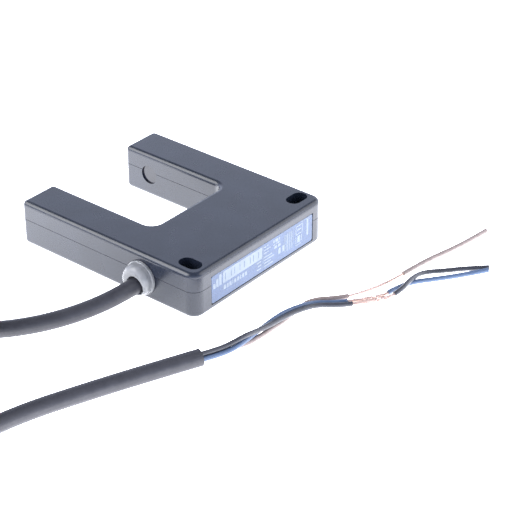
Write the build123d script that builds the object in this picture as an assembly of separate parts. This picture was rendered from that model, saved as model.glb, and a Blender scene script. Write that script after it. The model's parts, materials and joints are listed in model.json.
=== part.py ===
"""Fork-type photoelectric sensor with a fixed cable, in millimetres.

The housing lies flat: X runs across the fork, +Y towards the tips of its arms, +Z up.
The origin is the middle of the housing's footprint, on the surface that it lies on.
"""

import math
import os

from build123d import *

# ---- Housing ----
GAP = 30.0                 # clear passage between the two arms
ARM = 12.9                 # width of each arm
WIDTH = GAP + 2 * ARM
LENGTH = 65.0
GAP_DEPTH = 38.5           # from the arm tips to the bottom of the passage
HEIGHT = 13.7
WALL = 1.6
SEAM_Z = 8.05              # where the two half shells meet
EDGE_R = 1.4               # rounding round the top and the bottom face
REAR_R = 3.4               # upright corners at the back
CROTCH_R = 3.3             # upright corners at the bottom of the passage
TIP_R = 1.6                # upright corners of the arm tips
SEAM_BEVEL = 0.13          # small bevel under the upper shell that leaves a fine groove along the seam
REAR_Y = -LENGTH / 2
CROTCH_Y = LENGTH / 2 - GAP_DEPTH
LOFTY = 40.0               # taller than anything in the housing, for cutting tools

# ---- Screw slots ----
SLOT_LENGTH = 7.0
SLOT_WIDTH = 4.5           # clears an M4 screw
SLOTS = (                  # centre, and the direction that it is long in
    ((-23.1, -26.8), 90),
    ((22.5, -26.8), 0),
)
BOSS_WALL = 1.4

# ---- Label ----
LABEL_X = (-21.3, 22.8)
LABEL_Z = (1.9, 10.8)
LABEL_POCKET = 0.3
LABEL_THICK = 0.2
LABEL_PLAY = 0.2

# ---- Optics, the same in both arms ----
BEAM_Y = 22.9
BEAM_Z = 7.1
WINDOW_R = 2.9
WINDOW_RECESS = 0.5
WINDOW_FLANGE_R = 3.5
WINDOW_FLANGE = 0.8
LENS_R = 2.6
LENS_EDGE = 0.6
LENS_BULGE = 0.9
HOLDER_HALF = 3.8          # half the side of the square optics holder
HOLDER_LENGTH = 7.2
DIODE_R = 1.5
DIODE_LENGTH = 3.4
LEAD_R = 0.25
RUNNING_GAP = 0.05

# ---- Circuit board ----
BOARD_Z = 2.4
BOARD_THICK = 0.8
BOARD_TOP = BOARD_Z + BOARD_THICK
BOARD_PLAY = 0.45
REST_R = 1.4               # posts under the board
BOARD_RESTS = ((0, -9.0), (-10.0, -28.0), (10.0, -28.0), (-21.4, 29.0), (21.4, 29.0))

# ---- Cable ----
CABLE_D = 4.7
CABLE_R = CABLE_D / 2
CORE_D = 1.4               # one insulated core
CONDUCTOR_D = 0.76         # its bare strands, 0.34 square millimetres
RUN_SHARE = 0.45           # share of the shorter run that each arc takes

# ---- Gland, a clear ring that the indicator lights from inside ----
FACE_X = -WIDTH / 2        # the side that the cable leaves
GLAND_Y = -13.3
GLAND_Z = 6.4
GLAND_NECK_R = 4.2
GLAND_FLANGE_R = 5.0
GLAND_FLANGE = 0.8
GLAND_COLLAR_R = 4.75      # the collar, where it leaves the flange
GLAND_SHOULDER_R = 4.6
GLAND_DOME_R = 4.02        # a quarter of the way along the dome
GLAND_FRONT_R = 2.9        # where the dome ends in the flat front
GLAND_LENGTH = 3.8         # from the housing's face to the front
GLAND_DOME = 2.2           # length of the dome
GLAND_SNAP = 0.4           # how far the inner rim stands out behind the wall
GLAND_SNAP_END = 1.6       # from the wall's inner face to the ring's inner end
GLAND_BORE_R = 2.7
GLAND_BORE_YZ = (-14.1, 5.75)  # nearer to the label and lower than the ring's middle
SEAL_START = -0.9          # the seal, from the housing's face inwards
SEAL_END = WALL + 1.5
CLAMP_START_X = FACE_X + WALL + 1.8
CLAMP_END_X = CLAMP_START_X + 2.6
CLAMP_THICK = 0.75
CLAMP_SLIT = 0.5

# ---- The coil that the spare cable is wound into ----
COIL_X = -106.0
COIL_Y = 12.0
COIL_TURN_R = (30.4, 25.7, 21.0)
COIL_LAYERS = 4
COIL_START = 15.0          # degrees, where the first turn begins
COIL_STEP = 22.5           # degrees between two points of a turn
COIL_HEIGHT = 19.2
LEAVE_R = 35.1             # the last turn comes down outside the others
LEAVE_STEPS = 10
LEAVE_SHIFT = 45.0         # degrees over which it moves out
LEAVE_DROP = (15.0, 125.0)  # degrees between which it comes down
TIE_ANGLE = 296.25
TIE_WIDTH = 4.0
TIE_THICK = 0.8
TIE_PLAY = 0.5             # room over the top turns
TIE_HEAD = (3.4, 5.6, 5.0)  # depth, width and height of its lock
TIE_HEAD_Z = 11.0
TIE_TAIL = (1.0, 2.6)      # thickness and length of the cut end

# ---- Routes, by hand, from the housing outwards ----
NEAR_ROUTE = [
    (-21.0, -14.15, 5.8),
    (-34.4, -14.3, 5.45),
    (-47.0, -9.8, 3.3),
    (-59.0, -3.4, 2.42),
    (-69.5, 5.2, 2.35),
]
FAR_ROUTE = [
    (-109.5, -25.2, 2.35),
    (-90.0, -27.9, 2.35),
    (-70.0, -35.3, 2.35),
    (-54.3, -41.6, 2.35),
    (-42.2, -46.7, 2.35),
]
BUNDLE_ROUTE = [           # middle of the three cores, which are laid round one another
    (-42.2, -46.7, 2.35),
    (-37.8, -48.2, 2.0),
    (-33.3, -49.25, 1.86),
    (-28.8, -50.0, 1.8),
    (-24.2, -50.4, 1.77),
    (-19.6, -50.6, 1.74),
    (-15.0, -50.75, 1.74),
    (-10.6, -51.1, 1.74),
    (-6.4, -51.75, 1.74),
    (-2.2, -53.3, 1.74),
]
LAY = {                    # how much nearer and higher than that middle each core lies
    "brown": [
        (-0.7, -0.63), (-0.72, -0.63), (-0.65, -0.58), (0.18, -1.08), (0.43, -1.04),
        (0.36, -0.98), (0.32, -0.96), (-0.27, -1.03), (-1.59, -1.02), (-2.28, -0.3),
    ],
    "blue": [
        (0.69, -0.34), (0.69, -0.34), (0.92, -0.13), (0.63, 0.5), (-0.37, 0.2),
        (-0.76, 0.24), (-0.88, 0.53), (-0.8, 0.47), (-0.42, 0.24), (-0.77, -0.43),
    ],
    "black": [
        (-0.22, 0.75), (-0.22, 0.76), (-0.02, 1.02), (0.6, 2.04), (0.6, 1.34),
        (0.65, 0.85), (0.55, 0.5), (0.63, 0.3), (1.0, 0.16), (0.66, -0.4),
    ],
}
TAILS = {                  # where each core goes on alone
    "brown": [
        (4.3, -55.9, 1.05),
        (9.5, -58.3, 0.75),
        (16.5, -60.5, 0.71),
        (23.0, -61.6, 0.71),
        (29.0, -62.1, 0.71),
        (37.5, -63.1, 0.71),
        (49.0, -65.7, 0.71),
        (60.4, -66.7, 0.71),
    ],
    "blue": [
        (1.8, -56.1, 0.8),
        (7.8, -60.7, 0.71),
        (12.6, -64.0, 0.71),
        (18.2, -64.6, 0.71),
        (23.8, -66.1, 0.71),
        (29.2, -70.3, 0.71),
        (36.0, -75.1, 0.71),
        (42.5, -79.0, 0.71),
    ],
    "black": [
        (1.7, -58.2, 0.9),
        (7.5, -62.3, 0.75),
        (12.6, -66.0, 0.95),
        (17.2, -67.4, 1.95),
        (22.8, -66.5, 2.4),
        (29.3, -66.0, 1.25),
        (34.3, -69.6, 0.71),
        (39.4, -73.8, 0.71),
        (43.9, -78.4, 0.71),
    ],
}
STRIPPED = {               # the bare stretch goes from the middle of one run to the middle of another
    "brown": (0, 3),
    "blue": (0, 2),
    "black": (0, 2),
}

os.makedirs("parts", exist_ok=True)


# ---- Helpers ----
def write(name, shape):
    """One named node, one file."""
    export_step(shape, f"parts/{name}.step")


def block(x, y, z):
    """A box between two limits on each axis."""
    size = (x[1] - x[0], y[1] - y[0], z[1] - z[0])
    return Pos((x[0] + x[1]) / 2, (y[0] + y[1]) / 2, (z[0] + z[1]) / 2) * Box(*size)


def rod(x, y, z, radius):
    """A round bar along X."""
    middle = Pos((x[0] + x[1]) / 2, y, z)
    return middle * Rot(0, 90, 0) * Cylinder(radius, x[1] - x[0])


def post(x, y, z, radius):
    """A round bar along Z."""
    return Pos(x, y, (z[0] + z[1]) / 2) * Cylinder(radius, z[1] - z[0])


def unit(a, b):
    """The direction from a to b."""
    return (Vector(*b) - Vector(*a)).normalized()


def middle_of(a, b):
    return tuple((p + q) / 2 for p, q in zip(a, b))


def arc_radii(points):
    """The largest even arc at each corner of a route."""
    radii = []
    for before, corner, after in zip(points, points[1:], points[2:]):
        turn = math.radians(unit(before, corner).get_angle(unit(corner, after)))
        shorter = min(math.dist(before, corner), math.dist(corner, after))
        radii.append(RUN_SHARE * shorter / math.tan(turn / 2))
    return radii


def tube(name, points, diameter):
    """A round tube on straight runs joined by tangent arcs."""
    if len(points) == 2:
        path = Line(*points)
    else:
        radii = arc_radii(points)
        print(f"{name}: smallest arc {min(radii):.1f} mm, {min(radii) / diameter:.1f} diameters")
        path = FilletPolyline(*points, radius=radii)
    start = Plane(origin=points[0], z_dir=unit(points[0], points[1]))
    solid = sweep(start * Circle(diameter / 2), path=path)
    section = math.pi * diameter * diameter / 4
    share = solid.volume / (section * path.length)
    print(f"{name}: {path.length:.1f} mm long, volume over section times length {share:.4f}")
    return solid


# ---- Housing shells ----
def fork_face(inset):
    """The fork's outline, drawn in by an inset."""
    side = WIDTH / 2 - inset
    inner = GAP / 2 + inset
    rear = REAR_Y + inset
    tip = LENGTH / 2 - inset
    crotch = CROTCH_Y - inset
    half = [(side, rear), (side, tip), (inner, tip), (inner, crotch)]
    mirrored = [(-x, y) for x, y in reversed(half)]
    face = make_face(Polyline(*half, *mirrored, close=True))
    rounds = (
        (rear, max(REAR_R - inset, 0.5)),
        (tip, max(TIP_R - inset, 0.3)),
        (crotch, CROTCH_R + inset),
    )
    for y, radius in rounds:
        corners = face.vertices().filter_by(lambda v, y=y: abs(v.Y - y) < 1e-6)
        face = fillet(corners, radius)
    return face


def slot_cut(centre, angle, margin, z):
    """A slot's shape between two heights, widened by a margin."""
    outline = SlotOverall(SLOT_LENGTH + 2 * margin, SLOT_WIDTH + 2 * margin)
    placed = Pos(centre[0], centre[1], z[0]) * Rot(0, 0, angle) * outline
    return extrude(placed, z[1] - z[0])


def shells():
    """Both half shells, hollow, with the slots' bosses and every hole."""
    body = extrude(fork_face(0), HEIGHT)
    rims = body.faces().sort_by(Axis.Z)
    body = fillet(rims[0].edges() + rims[-1].edges(), EDGE_R)
    inside = (WALL, HEIGHT - WALL)
    body -= Pos(0, 0, inside[0]) * extrude(fork_face(WALL), inside[1] - inside[0])
    for centre, angle in SLOTS:
        body += slot_cut(centre, angle, BOSS_WALL, (WALL / 2, HEIGHT - WALL / 2))
    for centre, angle in SLOTS:
        body -= slot_cut(centre, angle, 0, (-1, HEIGHT + 1))
    lower = body & block((-LOFTY, LOFTY), (-LOFTY, LOFTY), (-1, SEAM_Z))
    upper = body & block((-LOFTY, LOFTY), (-LOFTY, LOFTY), (SEAM_Z, HEIGHT + 1))
    flat = upper.faces().filter_by(Axis.Z)
    meeting = flat.filter_by(lambda f: abs(f.center().Z - SEAM_Z) < 1e-6)
    upper = chamfer(meeting.sort_by(SortBy.AREA)[-1].outer_wire().edges(), SEAM_BEVEL)
    for x, y in BOARD_RESTS:
        lower += post(x, y, (WALL / 2, BOARD_Z), REST_R)
    holes = openings_in_walls()
    return lower - holes, upper - holes


def openings_in_walls():
    """What is cut across both shells: windows, the gland's seat and the label's pocket."""
    cuts = rod((FACE_X - 1, FACE_X + WALL + 1), GLAND_Y, GLAND_Z, GLAND_NECK_R + RUNNING_GAP)
    for side in (-1, 1):
        through = ordered(side * (GAP / 2 - 1), side * (GAP / 2 + WALL + 1))
        cuts += rod(through, BEAM_Y, BEAM_Z, WINDOW_R)
    cuts += block(LABEL_X, (REAR_Y - 1, REAR_Y + LABEL_POCKET), LABEL_Z)
    return cuts


def ordered(a, b):
    return (min(a, b), max(a, b))


# ---- Optics ----
def window(side):
    """A disc in the arm's inner wall, with a flange behind the wall."""
    front = GAP / 2 + WINDOW_RECESS
    behind_wall = GAP / 2 + WALL + RUNNING_GAP
    back = GAP / 2 + WALL + WINDOW_FLANGE
    disc = rod(ordered(side * front, side * back), BEAM_Y, BEAM_Z, WINDOW_R - RUNNING_GAP)
    flange = rod(ordered(side * behind_wall, side * back), BEAM_Y, BEAM_Z, WINDOW_FLANGE_R)
    return disc + flange


OPTICS_X = GAP / 2 + WALL + WINDOW_FLANGE + 0.1   # where the holder starts, from the middle
LENS_SEAT = 1.9                                   # depth of the holder's wide front bore
DIODE_X = OPTICS_X + 2.8                          # middle of the diode's round nose
DIODE_LEG_Y = 0.75                                # each leg, from the beam
DIODE_LEG_OUT = 0.6                               # how far the legs go before they turn down
OVERLAP = 0.2                                     # how deep one part of a piece runs into another


def lens(side):
    """A plano-convex lens, flat side to the window."""
    ball_r = (LENS_R**2 + LENS_BULGE**2) / (2 * LENS_BULGE)
    flat = OPTICS_X + RUNNING_GAP
    bulge_from = flat + LENS_EDGE
    disc = rod((flat, bulge_from + LENS_BULGE), 0, 0, LENS_R)
    ball = Pos(bulge_from + LENS_BULGE - ball_r, 0, 0) * Sphere(ball_r)
    return placed_on_beam(disc & ball, side)


def placed_on_beam(shape, side):
    """Turns a piece drawn along +X round to its arm and onto the beam."""
    turned = shape if side > 0 else Rot(0, 0, 180) * shape
    return Pos(0, BEAM_Y, BEAM_Z) * turned


def optics_holder(side):
    """A square block with a seat for the lens, one for the diode and a notch for its legs."""
    low = BOARD_TOP - BEAM_Z
    end = OPTICS_X + HOLDER_LENGTH
    shape = block((OPTICS_X, end), (-HOLDER_HALF, HOLDER_HALF), (low, HOLDER_HALF))
    shape -= rod((OPTICS_X - 1, OPTICS_X + LENS_SEAT), 0, 0, LENS_R + RUNNING_GAP)
    shape -= rod((OPTICS_X, end + 1), 0, 0, DIODE_R + RUNNING_GAP)
    legs_from = DIODE_X + DIODE_LENGTH - RUNNING_GAP
    shape -= block((legs_from, end + 1), (-DIODE_R, DIODE_R), (low - 1, 0))
    return placed_on_beam(shape, side)


def diode(side):
    """A round-nosed diode whose two legs bend down to the board."""
    back = DIODE_X + DIODE_LENGTH
    barrel = rod((DIODE_X, back), 0, 0, DIODE_R)
    nose = Pos(DIODE_X, 0, 0) * Sphere(DIODE_R)
    behind_lens = block((OPTICS_X + LENS_SEAT, LOFTY), (-LOFTY, LOFTY), (-LOFTY, LOFTY))
    shape = (barrel + nose) & behind_lens
    bend_x = back + DIODE_LEG_OUT
    for y in (-DIODE_LEG_Y, DIODE_LEG_Y):
        shape += rod((back - OVERLAP, bend_x + LEAD_R), y, 0, LEAD_R)
        shape += post(bend_x, y, (BOARD_TOP - BEAM_Z, LEAD_R), LEAD_R)
    return placed_on_beam(shape, side)


# ---- Circuit board and what is soldered to it ----
def circuit_board():
    """One board reaches into both arms, cut round the bosses and the gland."""
    board = Pos(0, 0, BOARD_Z) * extrude(fork_face(WALL + BOARD_PLAY), BOARD_THICK)
    for centre, angle in SLOTS:
        board -= slot_cut(centre, angle, BOSS_WALL + BOARD_PLAY, (0, HEIGHT))
    gland_room = (GLAND_Y - GLAND_FLANGE_R, GLAND_Y + GLAND_FLANGE_R)
    board -= block((FACE_X, CLAMP_END_X + BOARD_PLAY), gland_room, (0, HEIGHT))
    return board


CHIP_LIFT = 0.15           # gap under a moulded body
CHIP_BEVEL = 0.2
LEG_HALF = 0.2             # half the width of a leg
LEG_THICK = 0.2
LEG_OUT = 0.45             # from the body to the outside of a leg's upright part
LEG_REACH = 0.9            # from the body to the end of a leg's foot


def chip(x, y, size, legs, leg_pitch):
    """A moulded body with gull-wing legs along its two long sides."""
    length, width, height = size
    body = block(
        (x - length / 2, x + length / 2),
        (y - width / 2, y + width / 2),
        (BOARD_TOP + CHIP_LIFT, BOARD_TOP + height),
    )
    shape = chamfer(body.faces().sort_by(Axis.Z)[-1].edges(), CHIP_BEVEL)
    waist = BOARD_TOP + height / 2
    upright = (width / 2 + LEG_OUT - LEG_THICK, width / 2 + LEG_OUT)
    for i in range(legs):
        leg_x = x + (i - (legs - 1) / 2) * leg_pitch
        across = (leg_x - LEG_HALF, leg_x + LEG_HALF)
        for s in (-1, 1):
            shoulder = ordered(y + s * (width / 2 - OVERLAP), y + s * upright[1])
            shin = ordered(y + s * upright[0], y + s * upright[1])
            foot = ordered(y + s * upright[0], y + s * (width / 2 + LEG_REACH))
            shape += block(across, shoulder, (waist - LEG_THICK / 2, waist + LEG_THICK / 2))
            shape += block(across, shin, (BOARD_TOP, waist + LEG_THICK / 2))
            shape += block(across, foot, (BOARD_TOP, BOARD_TOP + LEG_THICK))
    return shape


def small_parts(places, size):
    """Equal surface-mounted blocks, as one group."""
    length, width, height = size
    pieces = []
    for x, y, turned in places:
        sx, sy = (width, length) if turned else (length, width)
        footprint = ((x - sx / 2, x + sx / 2), (y - sy / 2, y + sy / 2))
        pieces.append(block(*footprint, (BOARD_TOP, BOARD_TOP + height)))
    return Compound(children=pieces)


RESISTORS = [              # x, y, and whether it is turned a quarter
    *[(x, y, True) for y in (-24.6, -12.2) for x in (-9.0, -6.2, 9.4, 12.0)],
    *[(x, y, False) for x in (-20.6, 20.6) for y in (4.0, 7.0)],
]
CAPACITORS = [
    (-11.6, -20.0, False),
    (-11.6, -16.6, False),
    (13.6, -20.0, True),
    (20.6, 12.0, False),
    (-20.6, 12.0, False),
    (3.0, -28.0, False),
]
SUPPRESSORS = [(-2.5, -27.6, False), (19.0, -13.0, True), (19.0, -18.4, True)]
TANK_X = (1.2, 7.2)
TANK_Y = (-12.6, -9.4)
TANK_HEIGHT = 2.6
LAMP_X = (-21.6, -18.6)
LAMP_Y = (-8.8, -6.8)
LAMP_BASE = 1.1
LAMP_DOME = 0.8
LAMP_DOME_R = 0.9
CORE_PADS = {"brown": (-14.6, -16.8), "blue": (-14.6, -13.4), "black": (-14.6, -10.0)}


def tank_capacitor():
    body = block(TANK_X, TANK_Y, (BOARD_TOP, BOARD_TOP + TANK_HEIGHT))
    return chamfer(body.faces().sort_by(Axis.Z)[-1].edges(), CHIP_BEVEL)


def indicator_led():
    """A small lamp that shines into the gland."""
    dome_z = BOARD_TOP + LAMP_BASE
    base = block(LAMP_X, LAMP_Y, (BOARD_TOP, dome_z))
    dome = post(sum(LAMP_X) / 2, sum(LAMP_Y) / 2, (dome_z, dome_z + LAMP_DOME), LAMP_DOME_R)
    return base + fillet(dome.faces().sort_by(Axis.Z)[-1].edges(), LAMP_DOME_R * 0.4)


# ---- Gland and what holds the cable ----
def gland(cable_hole):
    """A ring of clear plastic: a neck in the wall, a rim behind it, a flange and a domed collar outside."""
    inner_end = FACE_X + WALL + GLAND_SNAP_END
    snap_x = FACE_X + WALL + RUNNING_GAP
    snap_r = GLAND_NECK_R + GLAND_SNAP
    flange_x = FACE_X - GLAND_FLANGE
    front_x = FACE_X - GLAND_LENGTH
    dome_x = front_x + GLAND_DOME
    profile = make_face(
        Polyline(
            (front_x, GLAND_FRONT_R),
            (front_x, 0),
            (inner_end, 0),
            (inner_end, snap_r),
            (snap_x, snap_r),
            (snap_x, GLAND_NECK_R),
            (FACE_X, GLAND_NECK_R),
            (FACE_X, GLAND_FLANGE_R),
            (flange_x, GLAND_FLANGE_R),
            (flange_x, GLAND_COLLAR_R),
            (dome_x, GLAND_SHOULDER_R),
        )
        + ThreePointArc(
            (dome_x, GLAND_SHOULDER_R),
            (front_x + GLAND_DOME / 4, GLAND_DOME_R),
            (front_x, GLAND_FRONT_R),
        )
    )
    return Pos(0, GLAND_Y, GLAND_Z) * revolve(profile, Axis.X) - cable_hole


def gland_parts(cable):
    """Gland, seal and clamp, each cut to the cable that runs through them."""
    y, z = GLAND_BORE_YZ
    hole = rod((FACE_X - GLAND_LENGTH - 1, FACE_X + WALL + GLAND_SNAP_END + 1), y, z, GLAND_BORE_R)
    seal = rod((FACE_X + SEAL_START, FACE_X + SEAL_END), y, z, GLAND_BORE_R) - cable
    band = rod((CLAMP_START_X, CLAMP_END_X), *NEAR_ROUTE[0][1:], CABLE_R + CLAMP_THICK)
    slit = block((CLAMP_START_X - 1, CLAMP_END_X + 1), (y - CLAMP_SLIT / 2, y + CLAMP_SLIT / 2), (z, LOFTY))
    return gland(hole), seal, band - cable - slit


# ---- Label ----
def label():
    x = (LABEL_X[0] + LABEL_PLAY, LABEL_X[1] - LABEL_PLAY)
    z = (LABEL_Z[0] + LABEL_PLAY, LABEL_Z[1] - LABEL_PLAY)
    back = REAR_Y + LABEL_POCKET
    return block(x, (back - LABEL_THICK, back), z)


# ---- Cable, coil and cores ----
def smooth(t):
    """Eases from 0 to 1."""
    t = min(max(t, 0.0), 1.0)
    return t * t * (3 - 2 * t)


def coil_point(radius, angle, z):
    """A control point whose curve runs at the radius."""
    reach = radius / math.cos(math.radians(COIL_STEP / 2))
    a = math.radians(angle)
    return (COIL_X + reach * math.cos(a), COIL_Y + reach * math.sin(a), z)


def leaving_turn():
    """The last turn, from the top of the ring down its outside to the surface."""
    top = CABLE_R + (COIL_LAYERS - 1) * CABLE_D
    points = []
    for i in range(LEAVE_STEPS + 1):
        turned = i * COIL_STEP
        radius = COIL_TURN_R[0] + (LEAVE_R - COIL_TURN_R[0]) * smooth(turned / LEAVE_SHIFT)
        drop = smooth((turned - LEAVE_DROP[0]) / (LEAVE_DROP[1] - LEAVE_DROP[0]))
        z = top + (CABLE_R - top) * drop
        points.append(coil_point(radius, COIL_START + turned, z))
    return points


RING_INNER = COIL_TURN_R[-1] - CABLE_R
RING_OUTER = COIL_TURN_R[0] + CABLE_R


def coil(leaving, tie_room):
    """The outer shape of the wound ring, with the turn that comes down beside it."""
    height = (0, COIL_HEIGHT)
    ring = post(COIL_X, COIL_Y, height, RING_OUTER) - post(COIL_X, COIL_Y, height, RING_INNER)
    return ring + leaving - tie_room


def tie_loop(clearance):
    """A flat strap once round the ring's section; clearance widens it to the room that it takes."""
    top = COIL_HEIGHT + TIE_PLAY
    half = TIE_WIDTH / 2 + clearance
    outside_x = (RING_INNER - TIE_THICK, RING_OUTER + TIE_THICK)
    outside = block(outside_x, (-half, half), (0, top + TIE_THICK))
    inside = block((RING_INNER, RING_OUTER), (-half - 1, half + 1), (TIE_THICK, top))
    return outside - inside


def coil_tie():
    """The strap with its lock, which is in the ring's hole, and the strap's cut end."""
    depth, width, height = TIE_HEAD
    tail_thick, tail_length = TIE_TAIL
    strap_x = RING_INNER - TIE_THICK
    low = TIE_HEAD_Z - height / 2
    shape = tie_loop(0)
    shape += block((strap_x - depth, strap_x + OVERLAP), (-width / 2, width / 2), (low, low + height))
    tail_x = (strap_x - depth / 2 - tail_thick / 2, strap_x - depth / 2 + tail_thick / 2)
    shape += block(tail_x, (-TIE_WIDTH / 2, TIE_WIDTH / 2), (low - tail_length, low + OVERLAP))
    return shape


def at_tie(shape):
    """Moves a shape drawn at the ring's middle to the tie's place."""
    return Pos(COIL_X, COIL_Y, 0) * Rot(0, 0, TIE_ANGLE) * shape


def woven(colour):
    """One core's points, laid round the others."""
    points = []
    last = len(BUNDLE_ROUTE) - 1
    for i, (here, (nearer, higher)) in enumerate(zip(BUNDLE_ROUTE, LAY[colour])):
        before = BUNDLE_ROUTE[max(i - 1, 0)]
        after = BUNDLE_ROUTE[min(i + 1, last)]
        dx, dy = after[0] - before[0], after[1] - before[1]
        across = nearer / math.hypot(dx, dy)
        points.append((here[0] + across * dy, here[1] - across * dx, here[2] + higher))
    return points


def core_pieces(colour, jacket):
    """Insulation, bare strands and the loose end sleeve of one core, face to face."""
    tail = TAILS[colour]
    first, last = STRIPPED[colour]
    bare_from = middle_of(tail[first], tail[first + 1])
    bare_to = middle_of(tail[last], tail[last + 1])
    insulation = woven(colour) + tail[:first + 1] + [bare_from]
    bare = [bare_from] + tail[first + 1:last + 1] + [bare_to]
    sleeve = [bare_to] + tail[last + 1:]
    write(f"{colour}_core", tube(f"{colour}_core", insulation, CORE_D) - jacket)
    write(f"{colour}_conductor", tube(f"{colour}_conductor", bare, CONDUCTOR_D))
    write(f"{colour}_end_sleeve", tube(f"{colour}_end_sleeve", sleeve, CORE_D))


LEAD_Z = 6.0               # height that the inner leads run at
SOLDER_R = (1.15, 0.75)
SOLDER_HEIGHT = 0.7


def inner_lead(colour, start):
    """A core inside the housing, from the cable's end down to its pad."""
    x, y = CORE_PADS[colour]
    halfway = ((start[0] + x) / 2, (start[1] + y) / 2, LEAD_Z + 0.2)
    return tube(f"{colour}_lead", [start, halfway, (x, y, LEAD_Z), (x, y, BOARD_TOP)], CORE_D)


def solder_joints(leads):
    """A cone of solder round the foot of each lead."""
    cones = []
    for colour, (x, y) in CORE_PADS.items():
        cone = Pos(x, y, BOARD_TOP + SOLDER_HEIGHT / 2) * Cone(*SOLDER_R, SOLDER_HEIGHT)
        cones.append(cone - leads[colour])
    return Compound(children=cones)


# ---- Build ----
coil_entry = coil_point(COIL_TURN_R[0], COIL_START, CABLE_R)
near_tube = tube("cable_near", NEAR_ROUTE + [coil_entry], CABLE_D)
descent = leaving_turn()
leave_at = middle_of(descent[-1], FAR_ROUTE[0])
leaving = tube("leaving turn", descent + [leave_at], CABLE_D)
coil_solid = coil(leaving, at_tie(tie_loop(RUNNING_GAP)))

lower, upper = shells()
write("lower_shell", lower)
write("upper_shell", upper)
write("type_label", label())

for arm, side in (("emitter", -1), ("receiver", 1)):
    write(f"{arm}_window", window(side))
    write(f"{arm}_lens", lens(side))
    write(f"{arm}_holder", optics_holder(side))
write("infrared_diode", diode(-1))
write("phototransistor", diode(1))

write("circuit_board", circuit_board())
write("amplifier_chip", chip(-2.4, -18.4, (6.0, 4.0, 1.6), 4, 1.27))
write("output_transistor", chip(6.6, -19.0, (6.4, 3.6, 1.7), 3, 2.3))
write("voltage_regulator", chip(2.2, -24.2, (3.0, 1.8, 1.2), 3, 0.95))
write("chip_resistors", small_parts(RESISTORS, (1.6, 0.8, 0.5)))
write("chip_capacitors", small_parts(CAPACITORS, (2.0, 1.25, 0.9)))
write("suppressor_diodes", small_parts(SUPPRESSORS, (3.8, 2.4, 2.0)))
write("tank_capacitor", tank_capacitor())
write("indicator_led", indicator_led())

ring, seal, clamp = gland_parts(near_tube)
write("cable_gland", ring)
write("cable_seal", seal)
write("cable_clamp", clamp)

inner_end = Vector(*NEAR_ROUTE[0])
leads = {}
for colour, offset in (("brown", (0, -0.8, -0.5)), ("blue", (0, 0, 0.9)), ("black", (0, 0.8, -0.5))):
    leads[colour] = inner_lead(colour, tuple(inner_end + Vector(*offset))) - near_tube
    write(f"{colour}_lead", leads[colour])
write("solder_joints", solder_joints(leads))

write("cable_near", near_tube - coil_solid)
write("cable_coil", coil_solid)
write("coil_tie", at_tie(coil_tie()))
far_tube = tube("cable_far", [leave_at] + FAR_ROUTE, CABLE_D)
write("cable_far", far_tube)
for colour in TAILS:
    core_pieces(colour, far_tube)
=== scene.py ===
"""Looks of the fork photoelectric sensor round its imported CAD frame, in metres."""

import json
import math

import bmesh
import bpy
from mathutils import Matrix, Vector


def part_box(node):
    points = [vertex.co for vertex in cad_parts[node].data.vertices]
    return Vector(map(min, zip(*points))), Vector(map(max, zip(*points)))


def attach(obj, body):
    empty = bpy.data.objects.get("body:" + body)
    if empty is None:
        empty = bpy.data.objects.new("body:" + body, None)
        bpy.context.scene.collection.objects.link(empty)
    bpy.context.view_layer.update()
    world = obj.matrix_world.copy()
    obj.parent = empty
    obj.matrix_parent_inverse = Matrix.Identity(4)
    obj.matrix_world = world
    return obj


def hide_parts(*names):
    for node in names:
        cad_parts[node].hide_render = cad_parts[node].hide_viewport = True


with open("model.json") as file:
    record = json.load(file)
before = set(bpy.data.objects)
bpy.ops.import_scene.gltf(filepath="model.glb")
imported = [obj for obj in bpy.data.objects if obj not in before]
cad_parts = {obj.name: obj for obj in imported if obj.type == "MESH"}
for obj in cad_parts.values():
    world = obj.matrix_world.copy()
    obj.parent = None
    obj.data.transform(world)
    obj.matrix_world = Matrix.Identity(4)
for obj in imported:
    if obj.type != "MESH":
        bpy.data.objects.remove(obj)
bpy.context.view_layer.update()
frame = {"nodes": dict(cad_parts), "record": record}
MM = 0.001


# ---- Camera ----
def make_camera():
    """A long lens that looks down on the rear corner by the gland."""
    azimuth = math.radians(-50.635)
    elevation = math.radians(31.28)
    target = Vector((8.538, -23.047, 0)) * MM
    distance = 502.229
    back = Vector((
        math.sin(azimuth) * math.cos(elevation),
        -math.cos(azimuth) * math.cos(elevation),
        math.sin(elevation),
    ))
    data = bpy.data.cameras.new("camera")
    data.lens = 125.456
    data.sensor_width = 36
    data.clip_start = 0.01
    data.clip_end = 50
    camera = bpy.data.objects.new("camera", data)
    camera.location = target + back * distance * MM
    camera.rotation_mode = "QUATERNION"
    camera.rotation_quaternion = (-back).to_track_quat("-Z", "Y")
    bpy.context.scene.collection.objects.link(camera)
    bpy.context.scene.camera = camera


make_camera()

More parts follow.
